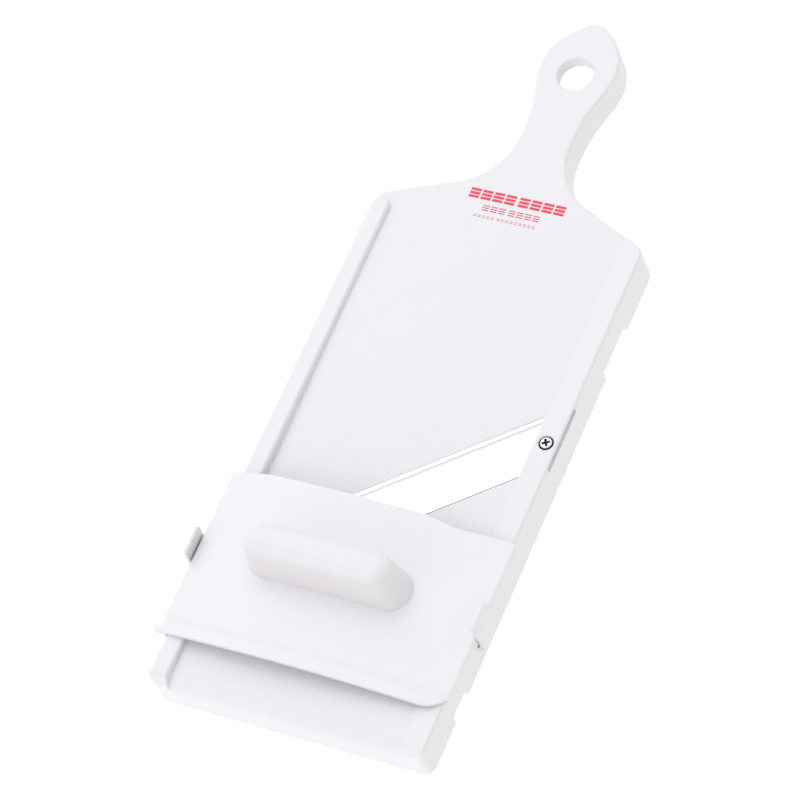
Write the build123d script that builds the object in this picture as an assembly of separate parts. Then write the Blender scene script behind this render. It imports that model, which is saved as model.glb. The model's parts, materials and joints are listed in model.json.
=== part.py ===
from build123d import *

import math
import os

# Mandoline slicer: a hollow one-piece board with a fixed diagonal blade, and a sliding hand guard.
# Millimetres. +X is across the board, +Y runs from the nose to the handle's tip, +Z is up.
# The origin is on the table, under the middle of the board. Lengths along the board are
# worked out from the nose, and the function y_at() turns them into the frame's Y.

# --- driving dimensions: the board -----------------------------------------------------------
BOARD_LENGTH = 344.0
BOARD_WIDTH = 124.0
DECK_Z = 18.0            # top of the right margin, of the upper deck and of the handle
RIDGE_TOP_Z = 20.5       # top of the guide ridge along the left edge
RIDGE_WIDTH = 8.3
MARGIN_WIDTH = 10.2      # flat margin along the right edge
WALL = 2.4
HANDLE_RIM_Z = 3.5       # lower rim of the handle, which is clear of the table
HANGING_HOLE_R = 8.0
HANGING_HOLE_FROM_NOSE = 317.2
COLLAR_DEPTH = 5.5
EDGE_R = 1.3             # rounding of the board's upper edges

# --- driving dimensions: the blade -----------------------------------------------------------
BLADE_ANGLE = 40.0       # between the cutting edge and the X axis
BLADE_FROM_NOSE = 110.8  # where the cutting edge crosses the board's centre line
BLADE_WIDTH = 20.3
BLADE_THICKNESS = 1.0
BLADE_TOP_Z = 17.2
THROAT = 2.9             # gap between the cutting edge and the upper bed's lip
SLICE = 1.0              # height of the cutting edge over the lip
BEVEL = 1.4
SCREW_X = 56.8
SCREW_FROM_NOSE = 144.6
SCREW_HEAD_R = 2.6
SCREW_POCKET_R = 3.2
SCREW_HOLE_R = 1.7       # in the strip
INSERT_R = 2.1
INSERT_HOLE_R = 1.5
INSERT_BOTTOM_Z = 9.0

# --- driving dimensions: the guard -----------------------------------------------------------
GUARD_OUTER = {"left": 65.4, "right": 64.3}  # from the middle to the outside of each skirt
GUARD_FRONT = 20.0       # distances from the nose, with the guard parked
GUARD_REAR = 98.2
GUARD_THICKNESS = 1.8
CROWN_TOP_Z = 25.4       # the plate is part of a wide cylinder that lies along the board
CROWN_X = -10.0
CROWN_R = 530.0
SKIRT_INNER = 62.3
SKIRT_FOOT_Z = {"left": 14.0, "right": 16.0}
FRONT_LIP_DROP = 0.6     # the front edge is a little lower than the rest of the plate
GRIP_X = -4.0
GRIP_FROM_NOSE = 62.5
GRIP_TOP_Z = 44.5
GRIP_GAP = 0.03          # between the grip and the plate
GRIP_SCREW_SPACING = 44.0
GRIP_SCREW_R = 1.6
SPIKE_R = 0.8
SLIDE_GAP = 0.2          # between the guard's runners and the board

# --- driving dimensions: the side clips ------------------------------------------------------
CLIP_MIDDLE = 59.6       # from the nose
CLIP_LENGTH = 13.2
CLIP_THICKNESS = 1.2
CLIP_GAP = {"left": 0.6, "right": 0.3}       # between each clip's arm and its skirt
CLIP_TOP_Z = 29.0
CLIP_FOOT_Z = 10.2
PIVOT_X = 63.3           # inside the guard's skirts
PIVOT_Z = 18.0
PIN_R = 0.5
BARREL_R = 1.0
SPRING_ROOM = 4.0        # length of the pin that the spring takes
SIDES = {"right": 1, "left": -1}

NOSE_Y = -BOARD_LENGTH / 2
HALF_WIDTH = BOARD_WIDTH / 2
RIDGE_INNER_X = -HALF_WIDTH + RIDGE_WIDTH
MARGIN_INNER_X = HALF_WIDTH - MARGIN_WIDTH
LIP_Z = BLADE_TOP_Z - BLADE_THICKNESS / 3 - SLICE
LOWER_BED_Z = BLADE_TOP_Z + 0.2
LEDGE_Z = BLADE_TOP_Z - BLADE_THICKNESS
SKIN_Z = LEDGE_Z - WALL              # underside of the skin below both beds
UPPER_SKIN_Z = DECK_Z - WALL         # underside of the skin below the upper deck
RAMP = 84.0                          # length of the slope that leads down to the lip
CLIP_WINDOW = CLIP_LENGTH / 2 - 0.6  # half the length of the guard's opening for a clip's barrel
BARREL_END = CLIP_WINDOW - 0.4       # from the middle of the clip to the barrel's front end
LONG = 400.0                         # longer than anything that it cuts


def y_at(from_nose):
    return NOSE_Y + from_nose


def block(x0, x1, y0, y1, z0, z1):
    """A box between two opposite corners."""
    middle = ((x0 + x1) / 2, (y0 + y1) / 2, (z0 + z1) / 2)
    return Pos(*middle) * Box(x1 - x0, y1 - y0, z1 - z0)


def rod(x, y, z0, z1, radius):
    """An upright cylinder."""
    return Pos(x, y, (z0 + z1) / 2) * Cylinder(radius, z1 - z0)


def rod_along_y(x, z, y0, y1, radius):
    """A cylinder that lies along the board."""
    return Pos(x, (y0 + y1) / 2, z) * Rot(90, 0, 0) * Cylinder(radius, y1 - y0)


def bar_along_y(points, y0, y1):
    """A prism along the board, from points in X and Z."""
    face = Plane.XZ * make_face(Polyline(*points, close=True))
    return Pos(0, y1, 0) * extrude(face, y1 - y0)


def bar_along_x(points, x0, x1):
    """A prism across the board, from points in Y and Z."""
    face = Plane.YZ * make_face(Polyline(*points, close=True))
    return Pos(x0, 0, 0) * extrude(face, x1 - x0)


def blade_prism(points):
    """A long prism parallel to the cutting edge, from points in V and Z.

    V is the distance from the cutting edge, across the blade and towards the handle.
    """
    return Pos(0, y_at(BLADE_FROM_NOSE), 0) * Rot(0, 0, BLADE_ANGLE) * bar_along_x(points, -LONG, LONG)


def round_corners(face, rounding):
    """Rounds a flat face's corners, from pairs of a corner and a radius."""
    for (px, py), radius in rounding:
        corner = min(face.vertices(), key=lambda v: (v.X - px) ** 2 + (v.Y - py) ** 2)
        face = fillet(corner, radius)
    return face


# --- the board -------------------------------------------------------------------------------
def board_outline(inset=0.0):
    """The board seen from above: straight sides, sloping shoulders, waisted neck, leaf-shaped end.

    With an inset, it is the same shape drawn that far inside, for the hollow underneath.
    """
    half = HALF_WIDTH - inset
    nose = NOSE_Y + inset
    neck_half = 12.0
    neck_radius = 30.0 + inset
    slope = math.radians(23)
    neck_centre = (42.0, y_at(282.2))
    shoulder_end = (
        neck_centre[0] - neck_radius * math.sin(slope),
        neck_centre[1] - neck_radius * math.cos(slope),
    )
    corner = (half, shoulder_end[1] - (half - shoulder_end[0]) * math.tan(slope))
    neck = (neck_half - inset, neck_centre[1])
    right = [
        Line((0, nose), (half, nose)),
        Line((half, nose), corner),
        Line(corner, shoulder_end),
        TangentArc(shoulder_end, neck, tangent=(-math.cos(slope), math.sin(slope))),
        Spline(
            neck,
            (14.0 - inset, y_at(302.5)),
            (17.6 - inset, y_at(318.5)),
            (13.3 - 0.8 * inset, y_at(334.0 - 0.6 * inset)),
            (4.6 - 0.5 * inset, y_at(342.4 - 0.9 * inset)),
            (0, y_at(BOARD_LENGTH - inset)),
            tangents=[(0, 1), (-1, 0)],
        ),
    ]
    left = [mirror(edge, about=Plane.YZ) for edge in right]
    face = make_face(right + left)
    rounding = [((x, corner[1]), 6.0 - inset) for x in (-half, half)]
    rounding += [((-half, nose), 3.0 - inset), ((half, nose), 4.5 - inset)]
    return round_corners(face, rounding)


def nose_roll(x0, x1, top, radius):
    """What is cut away in front of a rounded nose edge."""
    outside = block(x0, x1, NOSE_Y - 1, NOSE_Y + radius, top - radius, top + 4)
    round_edge = Pos((x0 + x1) / 2, NOSE_Y + radius, top - radius) * Rot(0, 90, 0) * Cylinder(radius, x1 - x0)
    return outside - round_edge


def guide_ridge():
    length = 234.0
    middle_x = RIDGE_INNER_X - RIDGE_WIDTH / 2
    straight = block(-HALF_WIDTH, RIDGE_INNER_X, NOSE_Y, y_at(length), SKIN_Z, RIDGE_TOP_Z)
    ridge = straight + rod(middle_x, y_at(length), SKIN_Z, RIDGE_TOP_Z, RIDGE_WIDTH / 2)
    return fillet(ridge.edges().group_by(Axis.Z)[-1], 1.5)


def bed_cut():
    """Both beds, sunk between the ridge and the margin, with the blade's seat and the throat.

    The throat widens downwards, so that slices fall freely.
    """
    seat_back = -BLADE_WIDTH - 0.45
    seat_front = -8.0
    lip_height = 0.8
    profile = [
        (-LONG, LOWER_BED_Z),
        (seat_back, LOWER_BED_Z),
        (seat_back, LEDGE_Z),
        (seat_front, LEDGE_Z),
        (seat_front - WALL, SKIN_Z - 0.1),
        (THROAT + 3.0, SKIN_Z - 0.1),
        (THROAT, LIP_Z - lip_height),
        (THROAT, LIP_Z),
        (THROAT + RAMP, DECK_Z),
        (THROAT + RAMP, RIDGE_TOP_Z + 1),
        (-LONG, RIDGE_TOP_Z + 1),
    ]
    between = block(RIDGE_INNER_X, MARGIN_INNER_X, NOSE_Y - 1, y_at(BOARD_LENGTH), 0, LONG)
    return blade_prism(profile) & between


def blade_pocket():
    """The closed pocket for the strip's two ends, and the slot in the right wall where it goes in."""
    gap = 0.05
    pocket = blade_prism(
        [
            (-BLADE_WIDTH - 0.45, LEDGE_Z - gap),
            (0.3, LEDGE_Z - gap),
            (0.3, BLADE_TOP_Z + gap),
            (-BLADE_WIDTH - 0.45, BLADE_TOP_Z + gap),
        ]
    )
    inside = block(-HALF_WIDTH + 3.5, HALF_WIDTH + 1, NOSE_Y, y_at(BOARD_LENGTH), 0, DECK_Z)
    slot_z = (LEDGE_Z - 1.9, BLADE_TOP_Z + 0.05)
    slot = block(HALF_WIDTH - WALL, HALF_WIDTH + 1, y_at(133.6), y_at(163.2), *slot_z)
    return pocket & inside, slot


def ribs(inner):
    """Stiffening ribs in the hollow underside, clear of the throat."""
    thickness = 1.6
    foot_z = 6.0
    diagonal = [THROAT + 12.0, -BLADE_WIDTH - 1.6]
    made = []
    for v in diagonal:
        made.append(
            blade_prism([(v, foot_z), (v + thickness, foot_z), (v + thickness, SKIN_Z), (v, SKIN_Z)])
        )
    for from_nose in (24.0, 214.0, 236.0, 262.0, 280.0, 296.0):
        made.append(
            block(-LONG, LONG, y_at(from_nose), y_at(from_nose) + thickness, foot_z, UPPER_SKIN_Z)
        )
    made.append(block(-thickness / 2, thickness / 2, y_at(24), y_at(60), foot_z, SKIN_Z))
    made.append(block(-thickness / 2, thickness / 2, y_at(150), y_at(296), foot_z, UPPER_SKIN_Z))
    return [rib & inner for rib in made]


def main_board():
    outline = board_outline()
    inner = board_outline(WALL)
    body = fillet(extrude(outline, DECK_Z).edges().group_by(Axis.Z)[-1], EDGE_R)
    body += guide_ridge() & extrude(outline, RIDGE_TOP_Z)
    body -= bed_cut()
    body -= nose_roll(RIDGE_INNER_X, MARGIN_INNER_X, LOWER_BED_Z, 5.5)
    body -= nose_roll(MARGIN_INNER_X, HALF_WIDTH + 1, DECK_Z, 4.5)
    body -= nose_roll(-HALF_WIDTH - 1, RIDGE_INNER_X, RIDGE_TOP_Z, 4.2)

    low_front = block(-LONG, LONG, NOSE_Y, y_at(8), 9.0, LONG)
    body -= extrude(inner, SKIN_Z) - low_front
    under_ramp = blade_prism(
        [(THROAT, 0), (LONG, 0), (LONG, UPPER_SKIN_Z), (THROAT + RAMP, UPPER_SKIN_Z), (THROAT, SKIN_Z)]
    )
    body -= extrude(inner, UPPER_SKIN_Z) & under_ramp
    inner_room = extrude(inner, DECK_Z - 0.5)
    for rib in ribs(inner_room):
        body += rib

    handle_clear = [
        (y_at(249), -1),
        (y_at(249), 0),
        (y_at(256), HANDLE_RIM_Z),
        (y_at(BOARD_LENGTH) + 1, HANDLE_RIM_Z),
        (y_at(BOARD_LENGTH) + 1, -1),
    ]
    body -= bar_along_x(handle_clear, -HALF_WIDTH, HALF_WIDTH)

    hole_y = y_at(HANGING_HOLE_FROM_NOSE)
    body += rod(0, hole_y, DECK_Z - COLLAR_DEPTH, DECK_Z, HANGING_HOLE_R + WALL)
    body -= rod(0, hole_y, 0, LONG, HANGING_HOLE_R)
    body -= Pos(0, hole_y, DECK_Z - 0.35) * Cone(HANGING_HOLE_R, HANGING_HOLE_R + 0.7, 0.7)

    screw_y = y_at(SCREW_FROM_NOSE)
    body += rod(SCREW_X, screw_y, 6.0, LEDGE_Z - 0.05, 3.9) & extrude(outline, DECK_Z)
    pocket, slot = blade_pocket()
    body -= pocket
    body -= slot
    body -= rod(SCREW_X, screw_y, 8.0, DECK_Z, INSERT_R)
    body -= rod(SCREW_X, screw_y, BLADE_TOP_Z, LONG, SCREW_POCKET_R)
    body -= Pos(SCREW_X, screw_y, DECK_Z - 0.2) * Cone(SCREW_POCKET_R, SCREW_POCKET_R + 0.4, 0.4)

    notch_depth = 4.5
    for side in (-1, 1):
        x0, x1 = sorted((side * (HALF_WIDTH - WALL - 1), side * (HALF_WIDTH + 1)))
        body -= block(x0, x1, y_at(188), y_at(212), -1, notch_depth)
        body -= block(x0, x1, y_at(24.5), y_at(37.5), -1, notch_depth)
    return body


# --- the blade and what holds it -------------------------------------------------------------
def slicing_blade():
    """A flat strip, bevelled on both faces, with its ends cut parallel to the board's sides."""
    edge_z = BLADE_TOP_Z - BLADE_THICKNESS / 3
    strip = blade_prism(
        [
            (-BLADE_WIDTH, LEDGE_Z),
            (-BEVEL, LEDGE_Z),
            (0, edge_z),
            (-BEVEL, BLADE_TOP_Z),
            (-BLADE_WIDTH, BLADE_TOP_Z),
        ]
    )
    strip &= block(-HALF_WIDTH + 4, HALF_WIDTH - 0.8, NOSE_Y, y_at(BOARD_LENGTH), 0, LONG)
    return strip - rod(SCREW_X, y_at(SCREW_FROM_NOSE), 0, LONG, SCREW_HOLE_R)


def cross_recess(x, y, top, length, width, depth):
    """The cross-shaped drive of a screw head."""
    cross = Box(length, width, 2 * depth) + Box(width, length, 2 * depth)
    return Pos(x, y, top) * Rot(0, 0, 30) * cross


def blade_screw():
    """A low pan-head machine screw that clamps the strip."""
    head_z = DECK_Z + 0.2
    head = rod(0, 0, BLADE_TOP_Z, head_z, SCREW_HEAD_R)
    head = fillet(head.edges().group_by(Axis.Z)[-1], 0.45)
    screw = head + rod(0, 0, INSERT_BOTTOM_Z + 0.5, BLADE_TOP_Z, INSERT_HOLE_R - 0.05)
    screw = Pos(SCREW_X, y_at(SCREW_FROM_NOSE), 0) * screw
    return screw - cross_recess(SCREW_X, y_at(SCREW_FROM_NOSE), head_z, 3.6, 1.1, 0.8)


def blade_screw_insert():
    """A brass thread insert, pressed into the board's boss."""
    x, y = SCREW_X, y_at(SCREW_FROM_NOSE)
    top = LEDGE_Z - 0.2
    insert = rod(x, y, INSERT_BOTTOM_Z, top, INSERT_R)
    insert -= rod(x, y, INSERT_BOTTOM_Z, top, INSERT_HOLE_R)
    groove = rod(x, y, 12.0, 12.6, INSERT_R + 0.1) - rod(x, y, 12.0, 12.6, INSERT_R - 0.3)
    return insert - groove


# --- the hand guard --------------------------------------------------------------------------
def crown_z(x, depth=0.0):
    """The height of the plate's upper face, or of a face that is a given depth inside it."""
    return CROWN_TOP_Z - CROWN_R + math.sqrt((CROWN_R - depth) ** 2 - (x - CROWN_X) ** 2)


def crown_arc(x0, x1, depth=0.0):
    """An arc across the guard, in X and Z."""
    middle = (x0 + x1) / 2
    points = [(x, crown_z(x, depth)) for x in (x0, middle, x1)]
    return ThreePointArc(*points)


def room_below_crown(depth):
    """All the space below a face that is a given depth inside the plate."""
    half = HALF_WIDTH
    arc = crown_arc(-half, half, depth)
    edges = [arc, Line(arc @ 1, (half, 0)), Line((half, 0), (-half, 0)), Line((-half, 0), arc @ 0)]
    return Pos(0, y_at(GUARD_REAR), 0) * extrude(Plane.XZ * make_face(edges), LONG)


def guard_section():
    """The guard's section in X and Z: a crowned sheet with skirts outside the board's walls."""
    left = -GUARD_OUTER["left"]
    right = GUARD_OUTER["right"]
    left_z = SKIRT_FOOT_Z["left"]
    right_z = SKIRT_FOOT_Z["right"]
    top = crown_arc(left, right)
    under = crown_arc(SKIRT_INNER, -SKIRT_INNER, GUARD_THICKNESS)
    edges = [
        Line((left, left_z), top @ 0),
        top,
        Line(top @ 1, (right, right_z)),
        Line((right, right_z), (SKIRT_INNER, right_z)),
        Line((SKIRT_INNER, right_z), under @ 0),
        under,
        Line(under @ 1, (-SKIRT_INNER, left_z)),
        Line((-SKIRT_INNER, left_z), (left, left_z)),
    ]
    rounding = [((left, crown_z(left)), 1.5), ((right, crown_z(right)), 1.8)]
    return round_corners(make_face(edges), rounding)


def guard_plan():
    """The guard seen from above, with its rear edge stepped back on both sides."""
    left = -GUARD_OUTER["left"]
    right = GUARD_OUTER["right"]
    front = y_at(GUARD_FRONT)
    rear = y_at(GUARD_REAR)
    corners = [
        ((left, front), 2.5),
        ((right, front), 12.0),
        ((right, rear - 1.2), 2.5),
        ((38.0, rear - 2.4), 10.0),
        ((24.0, rear), 14.0),
        ((-48.0, rear), 14.0),
        ((left, rear - 2.2), 2.5),
    ]
    plan = make_face(Polyline(*[point for point, _ in corners], close=True))
    return round_corners(plan, corners)


def guard_sheet():
    """The bent sheet, whose front edge dips smoothly to a slightly lower lip."""
    front = y_at(GUARD_FRONT)
    dip_start = front + 4.4
    dip_end = front + 8.4
    section = Plane.XZ * guard_section()

    def lowered(y, share):
        return Pos(0, y, -FRONT_LIP_DROP * share) * section

    steps = 6
    shares = [0.5 + 0.5 * math.cos(math.pi * i / steps) for i in range(steps + 1)]
    spacing = (dip_end - dip_start) / steps
    dip = loft([lowered(dip_start + i * spacing, share) for i, share in enumerate(shares)])
    lip = extrude(lowered(dip_start, 1.0), dip_start - front)
    rest = extrude(lowered(y_at(GUARD_REAR), 0.0), y_at(GUARD_REAR) - dip_end)
    return lip + dip + rest


def spike_places():
    """Seven columns by four rows of spikes, on both sides of the grip's screws."""
    columns = [GRIP_X + 12.0 * i for i in range(-3, 4)]
    rows = [y_at(f) for f in (36.0, 48.0, 77.0, 89.0)]
    return [(x, y) for y in rows for x in columns]


def grip_screw_places():
    return [(GRIP_X + s * GRIP_SCREW_SPACING / 2, y_at(GRIP_FROM_NOSE)) for s in (-1, 1)]


def screw_seat_z(x):
    """The flat underside of the small boss that a grip screw's head presses on."""
    return crown_z(x, GUARD_THICKNESS) - 0.5


def spike_top_z(x):
    return crown_z(x) - 0.5


def guard_plate():
    front = y_at(GUARD_FRONT)
    rear = y_at(GUARD_REAR)
    plate = guard_sheet() & extrude(guard_plan(), LONG)

    below_plate = room_below_crown(GUARD_THICKNESS / 2)
    runner_left = block(-60.0, -57.0, front + 9, rear - 6, RIDGE_TOP_Z + SLIDE_GAP, LONG)
    runner_right = block(54.0, 57.0, front + 9, rear - 6, DECK_Z + SLIDE_GAP, LONG)
    plate += (runner_left + runner_right) & below_plate
    for x, y in grip_screw_places():
        plate += rod(x, y, screw_seat_z(x), LONG, 4.2) & below_plate
    ear_z = crown_z(-GUARD_OUTER["left"]) - FRONT_LIP_DROP
    ear = block(-67.6, -62.5, front, front + 3.0, ear_z - 2.2, ear_z - 0.2)
    plate += fillet(ear.edges().filter_by(Axis.Z), 0.9)

    middle = y_at(CLIP_MIDDLE)
    for sign in SIDES.values():
        x0, x1 = sorted((sign * (HALF_WIDTH - 1), sign * LONG))
        window_top = PIVOT_Z + BARREL_R + 0.2
        plate -= block(x0, x1, middle - CLIP_WINDOW, middle + CLIP_WINDOW, 0, window_top)
        plate -= clip_pin_rod(sign)

    for x, y in grip_screw_places():
        plate -= rod(x, y, 0, LONG, GRIP_SCREW_R + 0.2)
    for x, y in spike_places():
        plate -= rod(x, y, 0, spike_top_z(x), SPIKE_R)
    return plate


def guard_grip():
    """The bar across the guard: a loaf with rounded ends, hollowed below to sit on the crown."""
    foot_z = 22.0
    rise = GRIP_TOP_Z - foot_z
    base = RectangleRounded(74.5, 19.6, 9.5)
    top = Pos(-1.8, 0, rise) * RectangleRounded(64, 13.8, 6.7)
    grip = loft([base.face(), top.face()])
    grip = fillet(grip.edges().group_by(Axis.Z)[-1], 5.9)
    grip = Pos(GRIP_X, y_at(GRIP_FROM_NOSE), foot_z) * grip
    grip -= room_below_crown(-GRIP_GAP)
    for x, y in grip_screw_places():
        grip -= rod(x, y, 0, crown_z(x) + 12, GRIP_SCREW_R)
    return grip


def grip_screws():
    """Two pan-head tapping screws, driven up through the plate into the grip."""
    head_height = 1.7
    screws = []
    for x, y in grip_screw_places():
        seat = screw_seat_z(x)
        head = rod(x, y, seat - head_height, seat, 3.0)
        head = fillet(head.edges().group_by(Axis.Z)[0], 0.7)
        screw = head + rod(x, y, seat, crown_z(x) + 11, GRIP_SCREW_R)
        screws.append(screw - cross_recess(x, y, seat - head_height, 3.6, 0.8, 0.9))
    return Compound(children=screws)


def food_spikes():
    """Short steel spikes set into the plate, which hold the food."""
    point = 2.0
    tip_z = DECK_Z + 0.5
    spikes = []
    for x, y in spike_places():
        shank = rod(x, y, tip_z + point, spike_top_z(x), SPIKE_R)
        tip = Pos(x, y, tip_z + point / 2) * Cone(0.12, SPIKE_R, point)
        spikes.append(shank + tip)
    return Compound(children=spikes)


# --- the side clips --------------------------------------------------------------------------
def side_clip(side):
    """A rocking clip outside the guard's skirt: a finger tab above, and a foot beside the wall.

    Its barrel reaches in through the skirt's window and turns on the pin.
    """
    sign = SIDES[side]
    y0 = y_at(CLIP_MIDDLE - CLIP_LENGTH / 2)
    y1 = y_at(CLIP_MIDDLE + CLIP_LENGTH / 2)
    inner = GUARD_OUTER[side] + CLIP_GAP[side]
    outer = inner + CLIP_THICKNESS
    lean = 0.8
    knee_z = PIVOT_Z + 4.0
    foot_x = HALF_WIDTH + 0.3
    points = [
        (foot_x, CLIP_FOOT_Z),
        (outer, CLIP_FOOT_Z),
        (outer, knee_z),
        (outer - lean, CLIP_TOP_Z),
        (inner - lean, CLIP_TOP_Z),
        (inner, knee_z),
        (inner, CLIP_FOOT_Z + 3.2),
        (foot_x, CLIP_FOOT_Z + 1.4),
    ]
    arm = bar_along_y([(sign * x, z) for x, z in points], y0, y1)
    top_corners = [e for e in arm.edges().filter_by(Axis.X) if e.center().Z > CLIP_TOP_Z - 0.1]
    arm = fillet(top_corners, 1.5)
    barrel_y0 = y_at(CLIP_MIDDLE - BARREL_END)
    barrel_y1 = y_at(CLIP_MIDDLE + BARREL_END - SPRING_ROOM)
    barrel = rod_along_y(sign * PIVOT_X, PIVOT_Z, barrel_y0, barrel_y1, BARREL_R)
    x0, x1 = sorted((sign * PIVOT_X, sign * (inner + 0.1)))
    web = block(x0, x1, barrel_y0, barrel_y1, PIVOT_Z - 0.8, PIVOT_Z + 0.8)
    hole = rod_along_y(sign * PIVOT_X, PIVOT_Z, y0 - 1, y1 + 1, PIN_R + 0.05)
    return arm + barrel + web - hole


def clip_pin_rod(sign):
    """The pin, which is held at both ends in the skirt."""
    half = CLIP_WINDOW + 3
    middle = y_at(CLIP_MIDDLE)
    return rod_along_y(sign * PIVOT_X, PIVOT_Z, middle - half, middle + half, PIN_R)


def clip_spring(sign):
    """A torsion spring round the pin, beside the clip's barrel."""
    wire_r = 0.15
    coil_r = PIN_R + 0.06 + wire_r
    pitch = 0.4
    room = SPRING_ROOM - 0.8
    start_y = y_at(CLIP_MIDDLE + BARREL_END - SPRING_ROOM + 0.4)
    path = Helix(pitch, room, coil_r)
    profile = Plane(origin=path @ 0, z_dir=path % 0) * Circle(wire_r)
    coil = sweep(profile, path=path, is_frenet=True)
    return Pos(sign * PIVOT_X, start_y, PIVOT_Z) * Rot(-90, 0, 0) * coil


def main():
    nodes = {
        "main_board": main_board(),
        "slicing_blade": slicing_blade(),
        "blade_screw": blade_screw(),
        "blade_screw_insert": blade_screw_insert(),
        "guard_plate": guard_plate(),
        "guard_grip": guard_grip(),
        "grip_screws": grip_screws(),
        "food_spikes": food_spikes(),
    }
    for side, sign in SIDES.items():
        nodes[f"{side}_clip"] = side_clip(side)
        nodes[f"{side}_clip_pin"] = clip_pin_rod(sign)
        nodes[f"{side}_clip_spring"] = clip_spring(sign)
    os.makedirs("parts", exist_ok=True)
    for name, shape in nodes.items():
        export_step(shape, f"parts/{name}.step")


main()
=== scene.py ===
import json
import math
import random

import bpy
from mathutils import Matrix, Vector


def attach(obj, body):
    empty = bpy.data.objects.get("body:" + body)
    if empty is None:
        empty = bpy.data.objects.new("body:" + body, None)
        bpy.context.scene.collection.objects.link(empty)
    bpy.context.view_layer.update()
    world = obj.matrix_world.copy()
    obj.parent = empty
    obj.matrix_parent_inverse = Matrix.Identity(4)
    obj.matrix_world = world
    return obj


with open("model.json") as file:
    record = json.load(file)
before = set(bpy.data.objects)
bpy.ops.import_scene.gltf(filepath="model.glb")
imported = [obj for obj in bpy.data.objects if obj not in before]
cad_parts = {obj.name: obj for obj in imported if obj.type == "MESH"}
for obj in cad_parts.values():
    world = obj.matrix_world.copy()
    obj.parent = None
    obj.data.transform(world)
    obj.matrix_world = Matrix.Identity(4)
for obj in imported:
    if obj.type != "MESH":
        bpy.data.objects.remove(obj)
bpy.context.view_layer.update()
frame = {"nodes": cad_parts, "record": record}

# Looks for the mandoline slicer. Metres, in the CAD model's frame: +X across the board,
# +Y from the nose to the handle's tip, +Z up, origin on the table under the board's middle.
MM = 0.001

# --- measures of the board, which the surface details and materials follow ---------------------
NOSE_Y = -172 * MM
HALF_WIDTH = 62.0 * MM
RIDGE_WIDTH = 8.3 * MM
MARGIN_WIDTH = 10.2 * MM
BED_LEFT = -HALF_WIDTH + RIDGE_WIDTH
BED_RIGHT = HALF_WIDTH - MARGIN_WIDTH
DECK_Z = 18.0 * MM
NECK_CENTRE = Vector((42.0 * MM, NOSE_Y + 282.2 * MM))
NECK_RADIUS = 30.0 * MM
SHOULDER_SLOPE = math.radians(23)

BLADE_TURN = math.radians(40)     # from the X axis to the cutting edge
BLADE_WIDTH = 20.3 * MM
BLADE_THICKNESS = 1.0 * MM
BLADE_TOP_Z = 17.2 * MM
BEVEL = 1.3 * MM                  # the ground strip along the cutting edge
EDGE_Y = NOSE_Y + 110.8 * MM      # where the cutting edge crosses the middle of the board
SEAT_Z = BLADE_TOP_Z - BLADE_THICKNESS
SEAT_BACK = -BLADE_WIDTH - 0.45 * MM  # the back wall of the blade's seat, from the cutting edge
SEAT_GAP = 0.7 * MM               # the strip of the seat behind the blade, where shade is painted

LOWER_BED_Z = BLADE_TOP_Z + 0.2 * MM
NOSE_ROLL = 5.5 * MM              # radius of the lower bed's front edge
SLICE = 1.0 * MM
THROAT = 2.9 * MM                 # from the cutting edge to the upper bed's lip
LIP_Z = BLADE_TOP_Z - BLADE_THICKNESS / 3 - SLICE
RAMP = 84.0 * MM                  # length of the slope that rises from the lip
SPARSE_FROM_Y = NOSE_Y + 150 * MM  # the dashes are fewer beyond this

SCREW_X = 56.8 * MM
SCREW_Y = NOSE_Y + 144.6 * MM
SCREW_TOP_Z = 18.2 * MM
SCREW_RECESS = 0.25 * MM          # deeper than this the screw's cross is painted black as shade
POCKET_R = 3.2 * MM               # the round pocket that the screw's head sits in

# --- colours ----------------------------------------------------------------------------------
WHITE = (0.864, 0.856, 0.887)
WHITE_WORN = (0.846, 0.838, 0.870)
WHITE_GUARD = (0.892, 0.884, 0.912)   # the guard is a shade lighter than the board
DASH_HIGHLIGHT = (0.918, 0.911, 0.935)  # painted highlight: the dashes, lighter than the bed
WHITE_SIDE_SHADE = (0.815, 0.792, 0.806)    # painted shade on the sides, a little warmer and darker than the tops
CLIP_SHADE = (0.790, 0.772, 0.785)     # painted shade: the left clip, greyer than the right one
STEEL_POLISHED = (0.93, 0.935, 0.945)
STEEL_GROUND = (0.52, 0.525, 0.53)
GAP_SHADE = (0.03, 0.03, 0.035)        # painted shade in the gap behind the blade
# painted shade on the blade round the screw's head
POCKET_SHADE = (0.025, 0.025, 0.03)
# painted shade in the screw's cross recess
RECESS_SHADE = (0.02, 0.02, 0.02)
INK_RED = (0.82, 0.035, 0.09)
INK_THIN = (0.88, 0.13, 0.19)
PAPER_GREY = (0.16, 0.16, 0.16)       # the floor, which mostly glows


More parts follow.
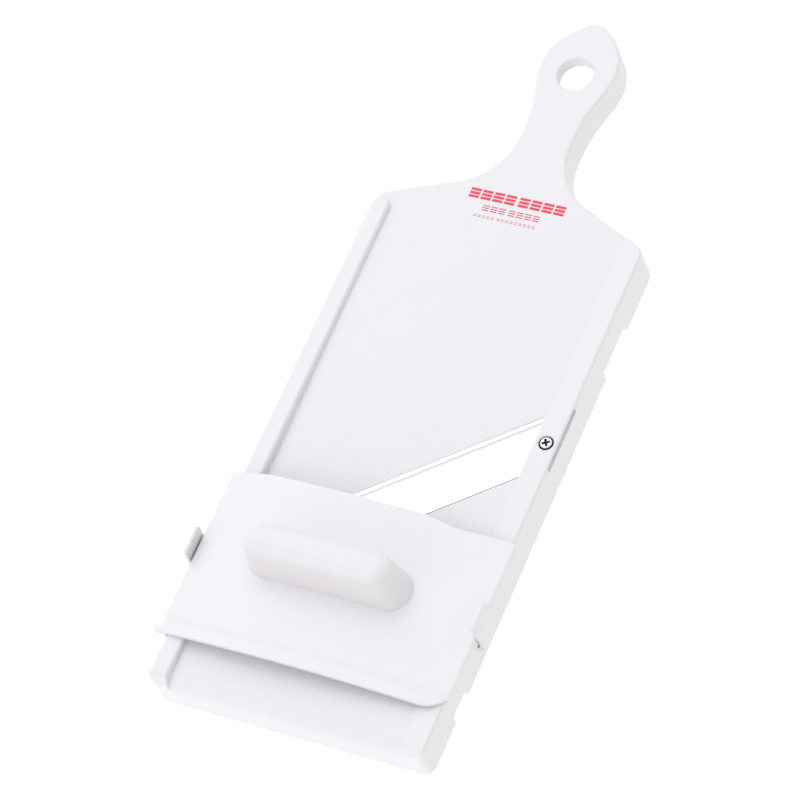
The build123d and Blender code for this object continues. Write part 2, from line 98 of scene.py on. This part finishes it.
# --- shader helpers ---------------------------------------------------------------------------
class Shader:
    """A material with one Principled BSDF, and short ways to add and join nodes."""

    def __init__(self, name, colour, roughness, metallic=0.0):
        self.material = bpy.data.materials.new(name)
        self.material.use_nodes = True
        self.tree = self.material.node_tree
        self.surface = self.tree.nodes["Principled BSDF"]
        self.surface.inputs["Base Color"].default_value = (*colour, 1.0)
        self.surface.inputs["Roughness"].default_value = roughness
        self.surface.inputs["Metallic"].default_value = metallic
        self.material.diffuse_color = (*colour, 1.0)
        self.position = self.node("ShaderNodeTexCoord").outputs["Object"]

    def node(self, kind, **settings):
        made = self.tree.nodes.new(kind)
        for key, value in settings.items():
            setattr(made, key, value)
        return made

    def join(self, source, target):
        if isinstance(source, (int, float)):
            target.default_value = source
        else:
            self.tree.links.new(source, target)

    def math(self, operation, a, b=0.0, clamp=False):
        made = self.node("ShaderNodeMath", operation=operation, use_clamp=clamp)
        self.join(a, made.inputs[0])
        self.join(b, made.inputs[1])
        return made.outputs[0]

    def axis(self, name):
        split = self.node("ShaderNodeSeparateXYZ")
        self.join(self.position, split.inputs[0])
        return split.outputs[name]

    def from_edge(self):
        """The distance from the cutting edge, across the blade and towards the handle."""
        along_x = self.math("MULTIPLY", self.axis("X"), -math.sin(BLADE_TURN))
        offset_y = self.math("SUBTRACT", self.axis("Y"), EDGE_Y)
        along_y = self.math("MULTIPLY", offset_y, math.cos(BLADE_TURN))
        return self.math("ADD", along_x, along_y)

    def facing(self, axis, low, high):
        """0 where the surface's normal has less than low along an axis, and 1 above high."""
        normal = self.node("ShaderNodeSeparateXYZ")
        self.join(self.node("ShaderNodeTexCoord").outputs["Normal"], normal.inputs[0])
        return self.step(self.math("ABSOLUTE", normal.outputs[axis]), low, high)

    def white_plastic(self, cloud_scale, side, level_colour=WHITE, side_shade_colour=WHITE_SIDE_SHADE):
        """The slicer's white, a little cloudy, with painted shade on its sides."""
        cloud = self.noise(cloud_scale, detail=3.0)
        level = self.mix_colour(self.spread(cloud, 0.0, 0.6), level_colour, WHITE_WORN)
        return self.mix_colour(side, level, side_shade_colour)

    def stretched(self, scale=(1, 1, 1), turn=(0, 0, 0)):
        """The position, turned and scaled, for a texture with a direction."""
        mapping = self.node("ShaderNodeMapping", vector_type="TEXTURE")
        mapping.inputs["Rotation"].default_value = turn
        mapping.inputs["Scale"].default_value = scale
        self.join(self.position, mapping.inputs["Vector"])
        return mapping.outputs[0]

    def noise(self, scale, detail=2.0, roughness=0.5, vector=None):
        made = self.node("ShaderNodeTexNoise")
        made.inputs["Scale"].default_value = scale
        made.inputs["Detail"].default_value = detail
        made.inputs["Roughness"].default_value = roughness
        self.join(vector or self.position, made.inputs["Vector"])
        return made.outputs["Fac"]

    def spread(self, source, low, high):
        """Maps a value of 0 to 1 onto low to high."""
        made = self.node("ShaderNodeMapRange")
        made.inputs["To Min"].default_value = low
        made.inputs["To Max"].default_value = high
        self.join(source, made.inputs["Value"])
        return made.outputs[0]

    def step(self, source, low, high):
        """0 below low, 1 above high, and a straight slope between."""
        made = self.node("ShaderNodeMapRange")
        made.inputs["From Min"].default_value = low
        made.inputs["From Max"].default_value = high
        self.join(source, made.inputs["Value"])
        return made.outputs[0]

    def between(self, source, low, high, fade=0.1 * MM):
        """1 from low to high, and 0 further than the fade outside them."""
        return self.math("MULTIPLY", self.step(source, low - fade, low),
                         self.step(source, high + fade, high))

    def mix_colour(self, share, a, b):
        made = self.node("ShaderNodeMix", data_type="RGBA")
        self.join(share, made.inputs["Factor"])
        for socket, value in ((made.inputs[6], a), (made.inputs[7], b)):
            if isinstance(value, tuple):
                socket.default_value = (*value, 1.0)
            else:
                self.join(value, socket)
        return made.outputs[2]

    def bump(self, height, depth, strength=1.0, below=None):
        made = self.node("ShaderNodeBump")
        made.inputs["Strength"].default_value = strength
        made.inputs["Distance"].default_value = depth
        self.join(height, made.inputs["Height"])
        if below is not None:
            self.join(below, made.inputs["Normal"])
        return made.outputs[0]

    def set(self, **values):
        """Joins or sets sockets of the surface; Base_Color stands for 'Base Color'."""
        for key, value in values.items():
            self.join(value, self.surface.inputs[key.replace("_", " ")])
        return self.material


# --- materials --------------------------------------------------------------------------------
def moulded_plastic(name, grain_scale, grain_depth, roughness, level=WHITE, side=WHITE_SIDE_SHADE):
    """White ABS: a faint cloudiness, a fine spark-eroded grain and flow waves from moulding."""
    s = Shader(name, WHITE, roughness)
    grain = s.noise(grain_scale, detail=3.0, roughness=0.6)
    waves = s.noise(60.0, detail=1.0)
    fine = s.bump(grain, grain_depth)
    normal = s.bump(waves, 0.00012, below=fine)
    s.surface.inputs["Coat Weight"].default_value = 0.0
    s.surface.inputs["IOR"].default_value = 1.52
    return s.set(
        # Painted shade: the faces that are not level take the side colour.
        Base_Color=s.white_plastic(26.0, s.facing("Z", 0.85, 0.25), level, side),
        Roughness=s.spread(grain, roughness - 0.07, roughness + 0.07),
        Normal=normal,
    )


def board_plastic():
    """The board's ABS: satin outside, coarser and duller on the beds, with painted shade in the gap
    behind the blade.
    """
    s = Shader("board_abs", WHITE, 0.4)
    on_beds = s.between(s.axis("X"), BED_LEFT + 0.2 * MM, BED_RIGHT - 0.2 * MM, fade=0.2 * MM)
    fine_grain = s.noise(2600.0, detail=2.0)
    bed_grain = s.noise(900.0, detail=3.0, vector=s.stretched(scale=(1, 2.6, 1)))
    fine = s.bump(fine_grain, 0.000012)
    bed = s.bump(s.math("MULTIPLY", bed_grain, on_beds), 0.00007, below=fine)
    # Painted shade: the seat's gap behind the blade is painted near black.
    behind_blade = s.between(s.from_edge(), SEAT_BACK, SEAT_BACK + SEAT_GAP)
    down_the_wall = s.between(s.axis("Z"), SEAT_Z - 0.1 * MM, LOWER_BED_Z - 0.2 * MM)
    gap_shade = s.math("MULTIPLY", s.math("MULTIPLY", behind_blade, down_the_wall), on_beds)
    # Painted shade on the faces that point across the board.
    white = s.white_plastic(22.0, s.facing("X", 0.3, 0.9))
    return s.set(
        Base_Color=s.mix_colour(gap_shade, white, GAP_SHADE),
        Roughness=s.math("ADD", s.spread(fine_grain, 0.30, 0.42), s.spread(on_beds, 0.0, 0.14)),
        Normal=bed,
    )


def blade_steel():
    """Polished strip steel with faint rolling lines, and cross-ground bevels at the cutting edge."""
    s = Shader("blade_steel", STEEL_POLISHED, 0.12, metallic=1.0)
    s.surface.inputs["Anisotropic"].default_value = 0.35
    bevel = s.step(s.from_edge(), -BEVEL - 0.2 * MM, -BEVEL)
    rolling = s.noise(700.0, detail=4.0, roughness=0.7,
                      vector=s.stretched(scale=(30, 1, 1), turn=(0, 0, BLADE_TURN)))
    grinding = s.noise(2200.0, detail=3.0, roughness=0.7,
                       vector=s.stretched(scale=(1, 20, 1), turn=(0, 0, BLADE_TURN)))
    smudge = s.noise(70.0, detail=4.0)
    flat_roughness = s.math("ADD", s.spread(rolling, 0.06, 0.14), s.spread(smudge, 0.0, 0.06))
    roughness = s.math("ADD", flat_roughness, s.math("MULTIPLY", bevel, 0.2))
    lines = s.bump(rolling, 0.000003)
    ground = s.bump(s.math("MULTIPLY", grinding, bevel), 0.00002, below=lines)
    # Painted shade on the blade round the screw's pocket.
    aside = s.math("SUBTRACT", s.axis("X"), SCREW_X)
    along = s.math("SUBTRACT", s.axis("Y"), SCREW_Y)
    squared = s.math("ADD", s.math("MULTIPLY", aside, aside), s.math("MULTIPLY", along, along))
    screw_pocket_shade = s.step(s.math("SQRT", squared), POCKET_R + 0.3 * MM, POCKET_R + 0.1 * MM)
    bare = s.mix_colour(bevel, STEEL_POLISHED, STEEL_GROUND)
    return s.set(
        Base_Color=s.mix_colour(screw_pocket_shade, bare, POCKET_SHADE),
        Roughness=s.math("ADD", roughness, s.math("MULTIPLY", screw_pocket_shade, 0.4)),
        Normal=ground,
    )


def turned_metal(name, colour, roughness, scale=1500.0, shade_below=None):
    """Bright small hardware: turning marks, and a little dulling where it is handled.

    With shade_below, everything lower than that height is painted black as shade, as in a screw's
    recess.
    """
    s = Shader(name, colour, roughness, metallic=1.0)
    marks = s.noise(scale, detail=4.0, vector=s.stretched(scale=(1, 1, 0.2)))
    dulling = s.noise(350.0, detail=2.0)
    darker = tuple(0.72 * c for c in colour)
    base = s.mix_colour(s.spread(dulling, 0.0, 0.7), colour, darker)
    if shade_below is not None:
        # Painted shade in the recess below that height.
        painted_recess_shade = s.step(s.axis("Z"), shade_below, shade_below - 0.1 * MM)
        base = s.mix_colour(painted_recess_shade, base, RECESS_SHADE)
    return s.set(
        Base_Color=base,
        Roughness=s.math("ADD", s.spread(marks, roughness - 0.06, roughness + 0.10),
                         s.spread(dulling, 0.0, 0.08)),
        Normal=s.bump(marks, 0.000008),
    )


def printed_ink():
    """Red pad-printed ink, a little uneven where it was laid down."""
    s = Shader("red_ink", INK_RED, 0.45)
    patch = s.noise(1400.0, detail=3.0)
    return s.set(
        Base_Color=s.mix_colour(s.spread(patch, 0.0, 0.55), INK_RED, INK_THIN),
        Roughness=s.spread(patch, 0.35, 0.6),
        Normal=s.bump(patch, 0.00001),
    )


MATERIALS = {
    "board_plastic": board_plastic(),
    "guard_plastic": moulded_plastic("guard_abs", 2200.0, 0.000010, 0.34, level=WHITE_GUARD),
    "grip_plastic": moulded_plastic("grip_abs", 1500.0, 0.000022, 0.42),
    "clip_plastic": moulded_plastic("clip_abs", 1900.0, 0.000014, 0.38),
    "blade_steel": blade_steel(),
    "screw_steel": turned_metal("screw_steel", (0.78, 0.78, 0.79), 0.22,
                                shade_below=SCREW_TOP_Z - SCREW_RECESS),
    "spike_steel": turned_metal("spike_steel", (0.74, 0.75, 0.77), 0.20),
    "pin_steel": turned_metal("pin_steel", (0.70, 0.71, 0.73), 0.25),
    "spring_steel": turned_metal("spring_steel", (0.58, 0.59, 0.61), 0.28),
    "brass_insert": turned_metal("brass", (0.80, 0.60, 0.28), 0.28),
}
# Nodes that look different from others with the same material slot: the left clip is painted in
# shade.
OWN_LOOKS = {
    "left_clip": moulded_plastic("shaded_clip_abs", 1900.0, 0.000014, 0.38, CLIP_SHADE, CLIP_SHADE),
}
INK = printed_ink()
# Painted highlight: the dashes are lighter than the bed, on their sides too.
DASHES = moulded_plastic("dash_abs", 2600.0, 0.000008, 0.45, level=DASH_HIGHLIGHT, side=DASH_HIGHLIGHT)

for part in frame["record"]["subparts"]:
    node = frame["nodes"][part["node"]]
    node.data.materials.clear()
    look = OWN_LOOKS.get(part["node"], MATERIALS[part["material_slot"]])
    node.data.materials.append(look)


# --- meshes -----------------------------------------------------------------------------------
def add_piece(name, vertices, faces, material, body):
    mesh = bpy.data.meshes.new(name)
    mesh.from_pydata([tuple(v) for v in vertices], [], faces)
    mesh.update()
    made = bpy.data.objects.new(name, mesh)
    bpy.context.scene.collection.objects.link(made)
    mesh.materials.append(material)
    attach(made, body)
    return made


# A pad is a low block with a narrower top: eight corners and six faces.
PAD_FACES = [(3, 2, 1, 0), (4, 5, 6, 7), (0, 1, 5, 4), (1, 2, 6, 5), (2, 3, 7, 6), (3, 0, 4, 7)]


def add_pad(vertices, faces, centre, half_x, half_y, height, taper, sink, tilt=0.0):
    """Adds one pad to a mesh's lists. tilt is the surface's rise for each metre along Y."""
    start = len(vertices)
    for level, shrink in ((-sink, 0.0), (height, taper)):
        for sx, sy in ((-1, -1), (1, -1), (1, 1), (-1, 1)):
            x = centre[0] + sx * (half_x - shrink)
            y = centre[1] + sy * (half_y - shrink)
            vertices.append((x, y, centre[2] + level + (y - centre[1]) * tilt))
    faces.extend([tuple(start + i for i in face) for face in PAD_FACES])


def bed_height(x, y):
    """The height of the beds at a point, and the slope along Y; None over the blade and throat."""
    v = -x * math.sin(BLADE_TURN) + (y - EDGE_Y) * math.cos(BLADE_TURN)
    back = NOSE_Y + NOSE_ROLL - y
    if back > 0:
        drop = NOSE_ROLL - math.sqrt(NOSE_ROLL**2 - back**2)
        return LOWER_BED_Z - drop, back / (NOSE_ROLL - drop)
    if v < -BLADE_WIDTH - 1.6 * MM:
        return LOWER_BED_Z, 0.0
    if v < THROAT + 1.6 * MM:
        return None
    if v < THROAT + RAMP:
        rise = (DECK_Z - LIP_Z) / RAMP
        return LIP_Z + (v - THROAT) * rise, rise * math.cos(BLADE_TURN)
    return DECK_Z, 0.0


def on_deck(x, y):
    """Whether a point of the upper deck is well inside the sloping shoulders."""
    shoulder_y = NECK_CENTRE.y - NECK_RADIUS * math.cos(SHOULDER_SLOPE)
    shoulder_x = NECK_CENTRE.x - NECK_RADIUS * math.sin(SHOULDER_SLOPE)
    limit = shoulder_y - (abs(x) - shoulder_x) * math.tan(SHOULDER_SLOPE)
    return y < limit - 5 * MM


def bed_dashes():
    """The short raised dashes that keep wet food from sticking to the beds.

    They stand further apart on the upper bed.
    """
    random.seed(7)
    pitch_x = 2.1 * MM
    pitch_y = 4.0 * MM
    first_y = NOSE_Y + 1.6 * MM
    side_gap = 0.7 * MM           # the beds' long edges stay plain
    half_width = 0.22 * MM
    taper = 0.12 * MM
    sink = 0.04 * MM
    vertices, faces = [], []
    rows = int(236 * MM / pitch_y)
    columns = int((BED_RIGHT - BED_LEFT) / pitch_x)
    for row in range(rows):
        for column in range(columns):
            shift = 0.5 + 0.5 * (row % 2)
            x = BED_LEFT + (column + shift) * pitch_x + random.uniform(-0.55, 0.55) * MM
            y = first_y + (row + 0.5) * pitch_y + random.uniform(-1.5, 1.5) * MM
            half_length = random.uniform(0.8, 1.7) * MM
            height = random.uniform(0.02, 0.11) * MM
            if y > SPARSE_FROM_Y and random.random() < 0.55:
                continue
            place = bed_height(x, y)
            clear_of_sides = BED_LEFT + side_gap < x < BED_RIGHT - side_gap
            if place is None or not clear_of_sides or not on_deck(x, y):
                continue
            z, tilt = place
            if y < NOSE_Y + NOSE_ROLL:
                half_length = 0.7 * MM
            centre = (x, y, z)
            add_pad(vertices, faces, centre, half_width, half_length, height, taper, sink, tilt)
    return add_piece("bed_dashes", vertices, faces, DASHES, "board")


def caution_marks():
    """A plain red printed mark near the neck: three lines of hatched blocks, which say nothing."""
    ink_height = 0.03 * MM
    ink_taper = 0.01 * MM
    ink_sink = 0.02 * MM
    lines = [
        # from the nose, middle, block height and width, gap, blocks in each group, share of ink
        (250.4, 0.0, 5.2, 4.75, 0.80, (4, 4), 0.74),
        (244.2, -0.5, 3.4, 3.05, 0.75, (3, 4), 0.46),
        (239.9, -2.0, 1.7, 1.35, 0.70, (5, 9), 0.36),
    ]
    vertices, faces = [], []
    for from_nose, middle, height, width, gap, groups, inked in lines:
        total = sum(groups) * (width + gap) + gap * (len(groups) - 2)
        left = middle - total / 2
        bars = 3 if height > 3 else 2
        pitch = height / bars
        half_x = width / 2 * MM
        half_y = inked * pitch / 2 * MM
        for group in groups:
            for _ in range(group):
                for bar in range(bars):
                    y = NOSE_Y + (from_nose + (bar - (bars - 1) / 2) * pitch) * MM
                    centre = (left * MM + half_x, y, DECK_Z)
                    add_pad(vertices, faces, centre, half_x, half_y, ink_height, ink_taper, ink_sink)
                left += width + gap
            left += gap
    return add_piece("caution_marks", vertices, faces, INK, "board")


bed_dashes()
caution_marks()


# --- floor, light and camera ------------------------------------------------------------------
def paper_floor():
    """A pale floor just under the board, which glows so that it shows no hard shadow."""
    mesh = bpy.data.meshes.new("floor")
    size = 6.0
    corners = [(-size, -size, 0), (size, -size, 0), (size, size, 0), (-size, size, 0)]
    mesh.from_pydata(corners, [], [(0, 1, 2, 3)])
    floor = bpy.data.objects.new("floor", mesh)
    floor.location.z = -0.2 * MM
    bpy.context.scene.collection.objects.link(floor)
    paper = Shader("floor_paper", PAPER_GREY, 0.9)
    paper.surface.inputs["Emission Color"].default_value = (1, 1, 1, 1)
    paper.surface.inputs["Emission Strength"].default_value = 0.93
    mesh.materials.append(paper.material)


def soft_sky():
    """Even white light from all round."""
    world = bpy.data.worlds.new("studio")
    world.use_nodes = True
    background = world.node_tree.nodes["Background"]
    background.inputs["Color"].default_value = (1.0, 1.0, 1.0, 1.0)
    background.inputs["Strength"].default_value = 0.80
    bpy.context.scene.world = world


def softbox(name, place, width, height, power, colour):
    """A rectangular lamp at a place, in metres, that points at the board's middle."""
    light = bpy.data.lights.new(name, "AREA")
    light.shape = "RECTANGLE"
    light.size = width
    light.size_y = height
    light.energy = power
    light.color = colour
    made = bpy.data.objects.new(name, light)
    made.location = place
    made.rotation_euler = (-Vector(place)).to_track_quat("-Z", "Y").to_euler()
    bpy.context.scene.collection.objects.link(made)


def camera():
    """A long lens above the nose's right side, turned so that the handle points up and right.

    right and back are the camera's own X and Z axes.
    """
    place = Vector((0.6678, -0.6662, 1.3782))
    right = Vector((0.8856, 0.3842, -0.2608)).normalized()
    back = Vector((0.4115, -0.3890, 0.8242)).normalized()
    right = (right - right.dot(back) * back).normalized()
    up = back.cross(right)
    data = bpy.data.cameras.new("camera")
    data.lens = 180.1
    data.sensor_width = 36.0
    data.clip_start = 0.05
    data.clip_end = 50.0
    made = bpy.data.objects.new("camera", data)
    turn = Matrix((right, up, back)).transposed().to_4x4()
    made.matrix_world = Matrix.Translation(place) @ turn
    bpy.context.scene.collection.objects.link(made)
    bpy.context.scene.camera = made


paper_floor()
soft_sky()
softbox("top", (-0.75, 0.95, 1.55), 1.6, 2.0, 10.0, (0.98, 0.97, 1.0))
softbox("front", (-0.6, -1.5, 0.8), 1.8, 0.8, 4.2, (1.0, 0.985, 0.985))
camera()
bpy.context.scene.view_settings.view_transform = "Standard"
